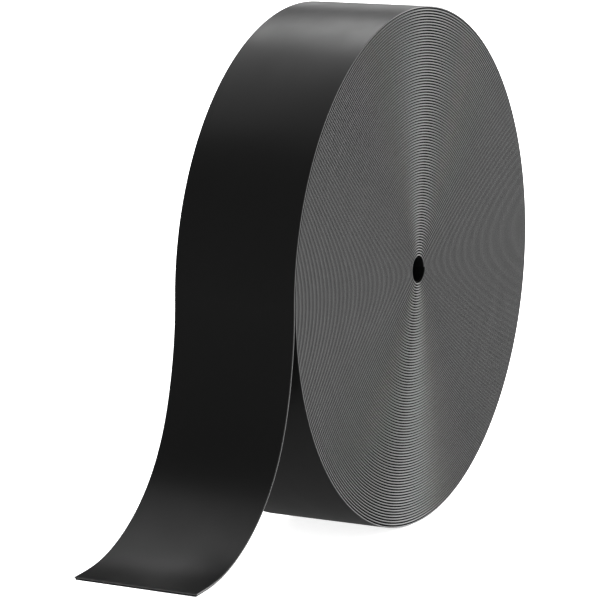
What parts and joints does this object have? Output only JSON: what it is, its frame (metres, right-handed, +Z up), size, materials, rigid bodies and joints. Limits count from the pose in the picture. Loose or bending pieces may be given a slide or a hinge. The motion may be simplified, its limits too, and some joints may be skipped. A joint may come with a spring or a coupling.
{
  "type": "electrical tape roll",
  "caption": "Coreless roll of black electrical tape standing on its tread, with a free tail that curls outwards and the start of the outer turn able to peel.",
  "frame": {"origin": "middle of the roll, on its axis", "axes": "+Y along the roll's axis, +Z up as the roll stands on its tread, and the free tail on the -X side"},
  "size_m": [0.1045, 0.019, 0.0771],
  "materials": {
    "film": "satin",
    "adhesive": "matte",
    "wound_tape": "matte"
  },
  "bodies": {
    "roll": {"first_turn_adhesive": "adhesive", "first_turn_film": "film", "turns_group_1": "wound_tape", "turns_group_2": "wound_tape", "turns_group_3": "wound_tape", "turns_group_4": "wound_tape", "turns_group_5": "wound_tape", "turns_group_6": "wound_tape", "turns_group_7": "wound_tape", "turns_group_8": "wound_tape", "outer_turn_adhesive": "adhesive", "outer_turn_film": "film"},
    "peel_1": {"peel_1_adhesive": "adhesive", "peel_1_film": "film"},
    "peel_2": {"peel_2_adhesive": "adhesive", "peel_2_film": "film"},
    "peel_3": {"peel_3_adhesive": "adhesive", "peel_3_film": "film"},
    "peel_4": {"peel_4_adhesive": "adhesive", "peel_4_film": "film"},
    "peel_5": {"peel_5_adhesive": "adhesive", "peel_5_film": "film"},
    "peel_6": {"peel_6_adhesive": "adhesive", "peel_6_film": "film"},
    "tail_1": {"tail_1_adhesive": "adhesive", "tail_1_film": "film"},
    "tail_2": {"tail_2_adhesive": "adhesive", "tail_2_film": "film"},
    "tail_3": {"tail_3_adhesive": "adhesive", "tail_3_film": "film"},
    "tail_4": {"tail_4_adhesive": "adhesive", "tail_4_film": "film"},
    "tail_5": {"tail_5_adhesive": "adhesive", "tail_5_film": "film"},
    "tail_6": {"tail_6_adhesive": "adhesive", "tail_6_film": "film"},
    "tail_7": {"tail_7_adhesive": "adhesive", "tail_7_film": "film"},
    "tail_8": {"tail_8_adhesive": "adhesive", "tail_8_film": "film"}
  },
  "joints": [
    {"name": "peel_1_bend", "type": "hinge", "parent": "roll", "child": "peel_1", "pos_m": [0, 0, 0.03846], "axis": [0, 1, 0], "range_deg": [0, 15], "stiffness_Nm_per_rad": 0.0012},
    {"name": "peel_2_bend", "type": "hinge", "parent": "peel_1", "child": "peel_2", "pos_m": [-0.00996, 0, 0.03717], "axis": [0, 1, 0], "range_deg": [0, 15], "stiffness_Nm_per_rad": 0.0012},
    {"name": "peel_3_bend", "type": "hinge", "parent": "peel_2", "child": "peel_3", "pos_m": [-0.01925, 0, 0.03334], "axis": [0, 1, 0], "range_deg": [0, 15], "stiffness_Nm_per_rad": 0.0012},
    {"name": "peel_4_bend", "type": "hinge", "parent": "peel_3", "child": "peel_4", "pos_m": [-0.02723, 0, 0.02723], "axis": [0, 1, 0], "range_deg": [0, 15], "stiffness_Nm_per_rad": 0.0012},
    {"name": "peel_5_bend", "type": "hinge", "parent": "peel_4", "child": "peel_5", "pos_m": [-0.03337, 0, 0.01927], "axis": [0, 1, 0], "range_deg": [0, 15], "stiffness_Nm_per_rad": 0.0012},
    {"name": "peel_6_bend", "type": "hinge", "parent": "peel_5", "child": "peel_6", "pos_m": [-0.03723, 0, 0.00998], "axis": [0, 1, 0], "range_deg": [0, 15], "stiffness_Nm_per_rad": 0.0012},
    {"name": "tail_1_bend", "type": "hinge", "parent": "peel_6", "child": "tail_1", "pos_m": [-0.0386, 0, 0], "axis": [0, 1, 0], "range_deg": [-3.5, 8], "stiffness_Nm_per_rad": 0.002},
    {"name": "tail_2_bend", "type": "hinge", "parent": "tail_1", "child": "tail_2", "pos_m": [-0.03898, 0, -0.00611], "axis": [0, 1, 0], "range_deg": [-20.6, 8], "stiffness_Nm_per_rad": 0.002},
    {"name": "tail_3_bend", "type": "hinge", "parent": "tail_2", "child": "tail_3", "pos_m": [-0.04011, 0, -0.01213], "axis": [0, 1, 0], "range_deg": [-16.1, 8], "stiffness_Nm_per_rad": 0.002},
    {"name": "tail_4_bend", "type": "hinge", "parent": "tail_3", "child": "tail_4", "pos_m": [-0.04199, 0, -0.01795], "axis": [0, 1, 0], "range_deg": [-20.1, 8], "stiffness_Nm_per_rad": 0.002},
    {"name": "tail_5_bend", "type": "hinge", "parent": "tail_4", "child": "tail_5", "pos_m": [-0.04495, 0, -0.02329], "axis": [0, 1, 0], "range_deg": [-22.5, 8], "stiffness_Nm_per_rad": 0.002},
    {"name": "tail_6_bend", "type": "hinge", "parent": "tail_5", "child": "tail_6", "pos_m": [-0.04908, 0, -0.0278], "axis": [0, 1, 0], "range_deg": [-22.5, 8], "stiffness_Nm_per_rad": 0.002},
    {"name": "tail_7_bend", "type": "hinge", "parent": "tail_6", "child": "tail_7", "pos_m": [-0.05416, 0, -0.0312], "axis": [0, 1, 0], "range_deg": [-22.5, 8], "stiffness_Nm_per_rad": 0.002},
    {"name": "tail_8_bend", "type": "hinge", "parent": "tail_7", "child": "tail_8", "pos_m": [-0.05989, 0, -0.03333], "axis": [0, 1, 0], "range_deg": [-22.5, 8], "stiffness_Nm_per_rad": 0.002}
  ]
}
